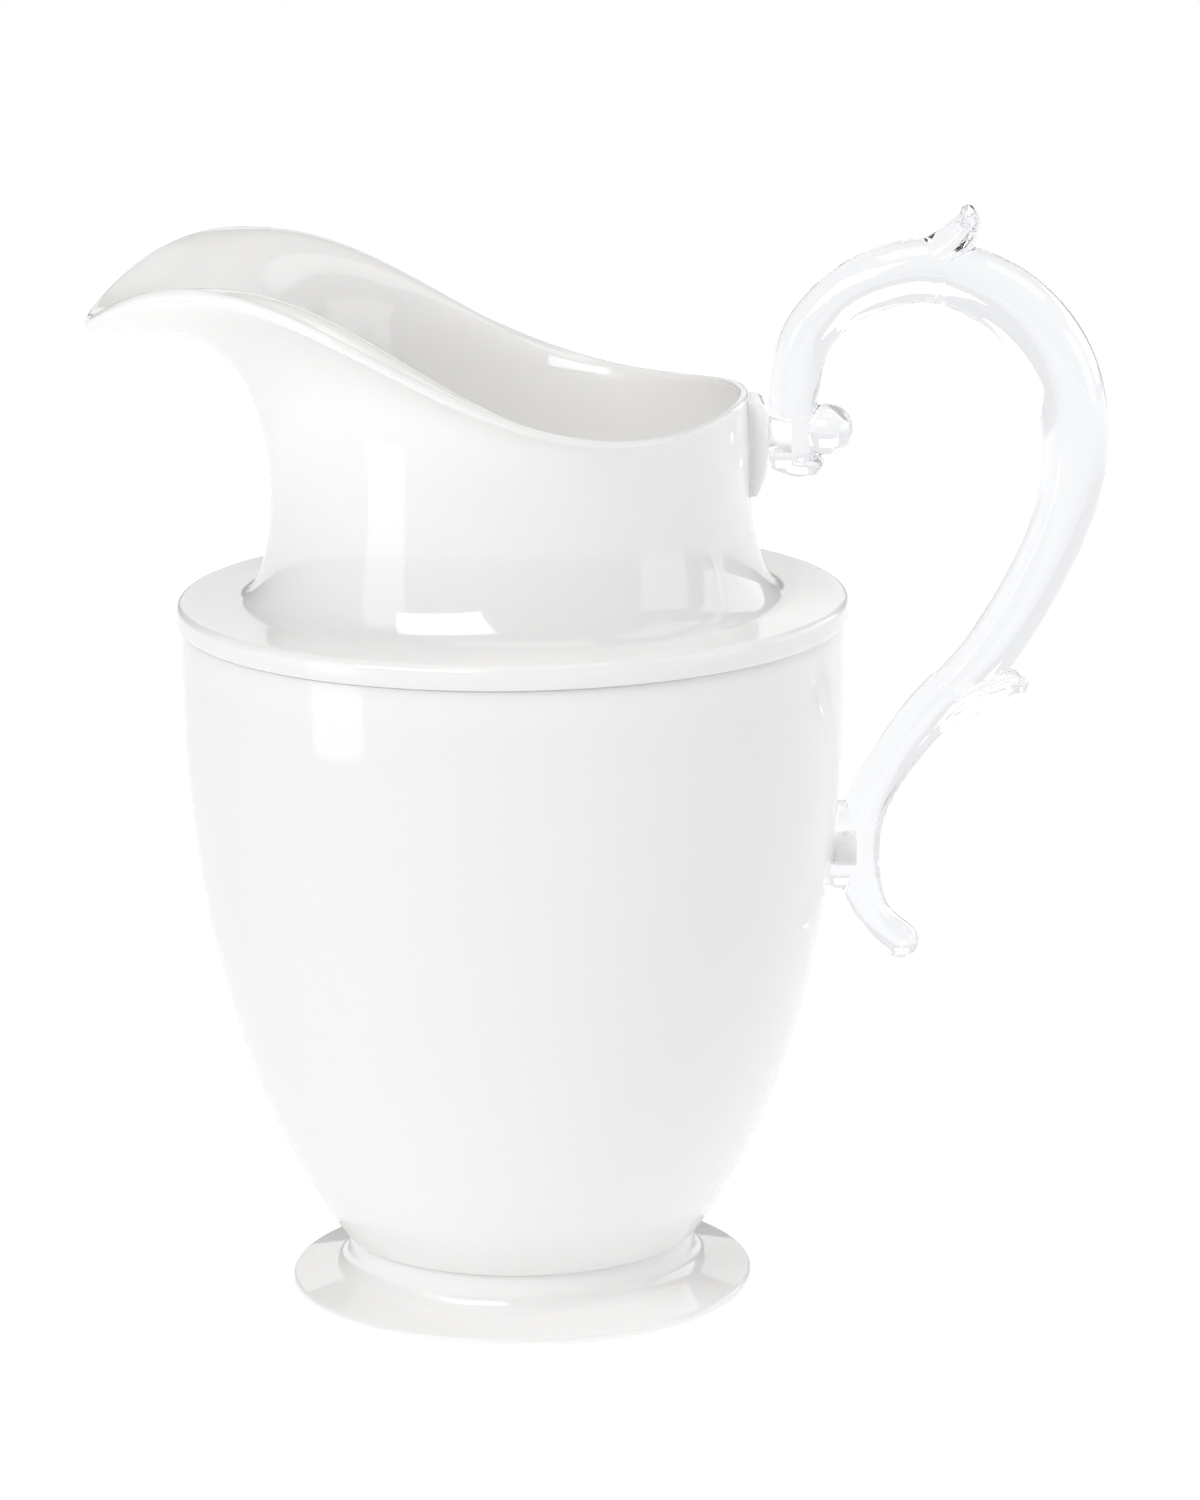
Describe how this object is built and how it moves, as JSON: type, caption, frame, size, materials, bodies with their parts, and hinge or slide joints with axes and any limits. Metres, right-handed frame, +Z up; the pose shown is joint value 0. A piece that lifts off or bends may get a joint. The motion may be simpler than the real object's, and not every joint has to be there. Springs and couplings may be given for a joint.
{
  "type": "pitcher",
  "caption": "Footed white pitcher with an oval body, a stepped shoulder, a flaring helmet spout and a clear scroll handle bonded to its neck and body",
  "frame": {"origin": "centre of the flat standing ring under the foot, where the pitcher's axis meets the surface it stands on", "axes": "+Z up along the axis of the foot and bowl; the spout points along -X and the handle along +X; the pitcher is mirrored about the XZ plane"},
  "size_m": [0.2263, 0.15, 0.2457],
  "materials": {
    "white_body": "glossy opaque white, moulded",
    "clear_handle": "polished, water-clear, moulded",
    "bond_line": "thin cured adhesive"
  },
  "bodies": {
    "root": {"foot": "white_body", "bowl": "white_body", "foot_bond": "bond_line", "neck": "white_body", "shoulder_bond": "bond_line", "handle": "clear_handle", "upper_handle_bond": "bond_line", "lower_handle_bond": "bond_line"}
  },
  "joints": []
}
